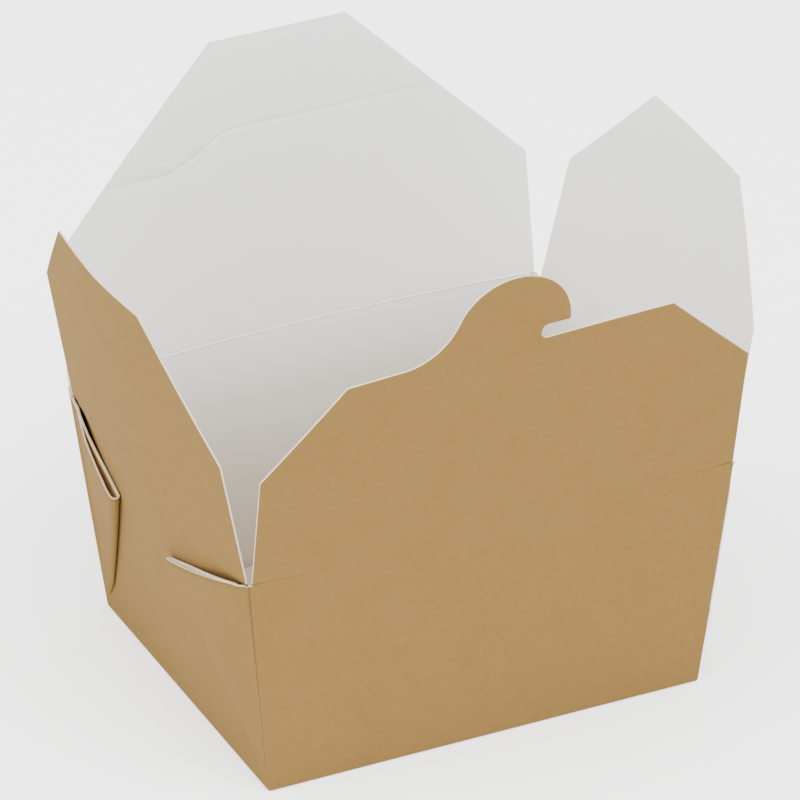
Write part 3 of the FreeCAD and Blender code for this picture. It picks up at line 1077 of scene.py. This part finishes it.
@dataclass
class FrontFlap(Flap):
    """The long flap at the front, with the hook tab on its top edge."""

    roots: tuple = (-64.3, 65.2)
    bead: float = 63.4
    shoulders: tuple = ((-64.6, 31.6), (65.2, 34.3))
    chamfers: tuple = ((-43.7, 54.7), (42.3, 56.4))
    tops: tuple = ((-28.9, 55.4), (27.9, 56.1))
    head_centre: tuple = (-0.9, 60.3)
    head_radius: float = 15.3
    head_steps: int = 40
    sweep_radius: float = 16.2
    sweep_steps: int = 14
    slot: tuple = ((8.6, 55.45), (7.95, 55.62), (7.4, 56.0), (7.05, 56.5), (6.9, 57.1), (6.93, 57.75),
                   (7.12, 58.35), (7.5, 58.88), (8.0, 59.25), (8.6, 59.45))
    slot_top: float = 59.55

    def outline(self) -> Outline:
        """Draws the flap's outline, the hook tab with its slot included."""
        drawn = Outline(self.name, self.roots[0], self.root_gap)
        drawn.line((self.roots[1], self.root_gap), self.shoulders[1], self.chamfers[1], self.tops[1], *self.slot)
        head, tip_up = Vector(self.head_centre), self.slot_top
        tip_along = head.x + math.sqrt(self.head_radius ** 2 - (tip_up - head.y) ** 2)
        drawn.line((tip_along, tip_up))
        sweep = self.sweep_centre(self.tops[0][1])
        reach = Vector(sweep) - head
        touch = head + reach.normalized() * self.head_radius
        start = math.atan2(tip_up - head.y, tip_along - head.x)
        end = math.atan2(touch.y - head.y, touch.x - head.x)
        drawn.arc(self.head_centre, math.degrees((end - start) % (2 * math.pi)), self.head_steps)
        back = math.atan2(touch.y - sweep[1], touch.x - sweep[0])
        drawn.arc(sweep, -math.degrees((back + math.pi / 2) % (2 * math.pi)), self.sweep_steps)
        return drawn.line(self.chamfers[0], self.shoulders[0])

    def sweep_centre(self, base_up: float) -> tuple[float, float]:
        """Centre of the arc that runs from the top edge into the tab's head, in mm."""
        up = base_up + self.sweep_radius
        reach = self.sweep_radius + self.head_radius
        along = self.head_centre[0] - math.sqrt(reach ** 2 - (up - self.head_centre[1]) ** 2)
        return (along, up)


@dataclass
class TakeawayBox:
    """The whole box: the tray's card, its four webs, and four flaps with their crease beads."""

    card: Card = field(default_factory=Card)
    tray: TrayForm = field(default_factory=TrayForm)
    settling: Vector = field(default_factory=lambda: Vector((0.75, -1.7, 0)))
    pieces: list = field(default_factory=list)

    def keep(self, piece: bpy.types.Object, body: str) -> bpy.types.Object:
        """Adds a finished piece, with the body it moves with, and reports it."""
        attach(piece, body)
        self.pieces.append(piece)
        log.info("%s: %d faces, rides %s", piece.name, len(piece.data.polygons), body)
        return piece

    def build(self) -> list[bpy.types.Object]:
        """Builds and dresses every piece.

        Returns:
            The pieces.
        """
        left = SideForm(self.tray, Side.LEFT, Bow(5.45, 0.002, 1.5), 10.09, "left_flap_crease", 14.0, 1.6)
        right = SideForm(self.tray, Side.RIGHT, Bow(5.27, 0.0, 2.36), 11.21, "right_flap_crease", 15.2, 1.6,
                         settled=(self.settling.x, 0.0))
        front = SideForm(self.tray, Side.FRONT, Bow(2.23, 0.018, 2.6), 10.42, "front_flap_crease", 10.4,
                         extra=(0.0, 0.9), settled=(0.0, -self.settling.y))
        back = SideForm(self.tray, Side.BACK, Bow(5.36, 0.015, 2.2), 12.91, "back_flap_crease", 12.9,
                        extra=(0.8, 0.0))
        pan = self.keep(BasePan(self.tray, self.card).build(), "tray")
        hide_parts("tray")
        made = []
        for form in (left, right, front, back):
            made.append((form.flatten_wall, self.keep(Wall(form, self.card).build(), "tray")))
        # the near webs' white coated inside shows the cut edge's cream as painted warm shade in their folds
        near = dict(inside=Face.CUT_EDGE, top=62.9, sag=(40.0, 58.6), tip=(12.6, 50.3), fold_radius=0.7,
                    gaps=((0.0, 0.5), (0.12, 1.3), (0.3, 1.7), (0.48, 1.5), (0.7, 0.8), (0.82, 0.4), (1.0, 0.3)),
                    stacks=((0.0, 0.3), (0.12, 0.1), (0.3, 0.12), (0.42, 0.4), (0.62, 1.0), (0.8, 1.5),
                            (0.92, 1.4), (1.0, 0.9)))
        for long, sizes in ((front, near), (back, {})):
            for end in (left, right):
                self.keep(Web(end, long, self.card, **sizes).build(), "tray")
        flaps = (Flap(left, self.card),
                 Flap(right, self.card, roots=(-50.6, 50.1), shoulders=((-47.9, 34.6), (48.4, 34.5)),
                      tops=((-22.3, 63.3), (21.9, 64.3))),
                 FrontFlap(front, self.card), BackFlap(back, self.card))
        for flap in flaps:
            body = f"{flap.form.side.word}_flap"
            card = self.keep(flap.build(), body)
            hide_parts(body)
            bead = self.keep(CreaseBead(flap.form, self.card, flap.bead).build(), body)
            made += [(flap.form.flatten_flap, card), (flap.form.flatten_flap, bead)]
        corner = Vector((self.tray.half_length(0), -self.tray.half_width(0), 0)) * MM
        for piece in self.pieces:
            if piece.name.endswith(("pan", "wall", "web")):
                Bench.settle(piece, corner, self.settling * MM, self.tray.height * MM)
        self.card.dress(self.pieces)
        for flatten, piece in made:
            flatten(piece)
        return self.pieces


@dataclass(frozen=True)
class Studio:
    """The plain pale floor, the soft light and the camera at the photograph's place."""

    lens: float = 346.5
    azimuth: float = -26.26
    elevation: float = 30.574
    roll: float = 0.10
    place: tuple[float, float, float] = (-0.71876, -1.45795, 1.03035)
    floor_tint: tuple[float, float, float] = (0.9, 0.9, 0.9)
    floor_size: float = 12.0
    floor_drop: float = 0.00005
    floor_glow: float = 1.2
    sky: float = 1.4
    aim: tuple[float, float, float] = (0.0, 0.0, 0.06)
    lamps: tuple = (("softbox_left", (-1.5, 0.3, 1.5), 1.3, 27), ("softbox_front", (0.2, -1.1, 2.2), 1.3, 60),
                    ("softbox_top", (-0.2, -0.2, 2.3), 1.8, 50))

    def floor(self) -> bpy.types.Object:
        """Lays the floor."""
        Bench.clear()
        bpy.ops.mesh.primitive_plane_add(size=self.floor_size, location=(0, 0, -self.floor_drop))
        floor = Bench.named("studio_floor")
        material = bpy.data.materials.new("floor_paper")
        material.use_nodes = True
        tune(material.node_tree.nodes["Principled BSDF"],
             {"Base Color": (*self.floor_tint, 1), "Roughness": 0.9, "Specular IOR Level": 0.1,
              "Emission Color": (1, 1, 1, 1), "Emission Strength": self.floor_glow})
        floor.data.materials.append(material)
        return floor

    @staticmethod
    def hang(thing: bpy.types.ID, at: tuple, turn: Euler) -> bpy.types.Object:
        """Places a light or a camera in the scene.

        Args:
            thing: the light or the camera.
            at: its place, in metres.
            turn: its rotation.

        Returns:
            The object that holds it.
        """
        holder = bpy.data.objects.new(thing.name, thing)
        holder.location, holder.rotation_euler = at, turn
        bpy.context.scene.collection.objects.link(holder)
        return holder

    def lamp(self, name: str, at: tuple, size: float, power: float) -> None:
        """Hangs one large soft light that looks at the box.

        Args:
            name: the light's name.
            at: its place, in metres.
            size: the length of its sides, in metres.
            power: its power, in watts.
        """
        light = bpy.data.lights.new(name, "AREA")
        light.shape = "SQUARE"
        light.size = size
        light.energy = power
        self.hang(light, at, (Vector(self.aim) - Vector(at)).to_track_quat("-Z", "Y").to_euler())

    def light(self) -> None:
        """Sets the sky and the lights."""
        world = bpy.data.worlds.new("studio_sky")
        world.use_nodes = True
        tune(world.node_tree.nodes["Background"], {"Color": (1, 1, 1, 1), "Strength": self.sky})
        bpy.context.scene.world = world
        for lamp in self.lamps:
            self.lamp(*lamp)

    def camera(self) -> bpy.types.Object:
        """Sets up the camera at the photograph's angle.

        Returns:
            The camera.
        """
        camera = bpy.data.cameras.new("photo_camera")
        camera.lens = self.lens
        camera.sensor_width = 36
        camera.clip_start = 0.05
        camera.clip_end = 50
        turn = Euler((0, 0, math.radians(self.azimuth))).to_matrix()
        tilt = Euler((math.radians(90 - self.elevation), 0, 0)).to_matrix()
        level = Euler((0, 0, math.radians(self.roll))).to_matrix()
        bpy.context.scene.camera = self.hang(camera, self.place, (turn @ tilt @ level).to_euler())
        return bpy.context.scene.camera


def main() -> None:
    """Builds the studio and the box."""
    logging.basicConfig(level=logging.INFO, format="%(name)s: %(message)s")
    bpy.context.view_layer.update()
    studio = Studio()
    studio.camera()
    studio.floor()
    studio.light()
    TakeawayBox().build()


if __name__ == "__main__":
    main()
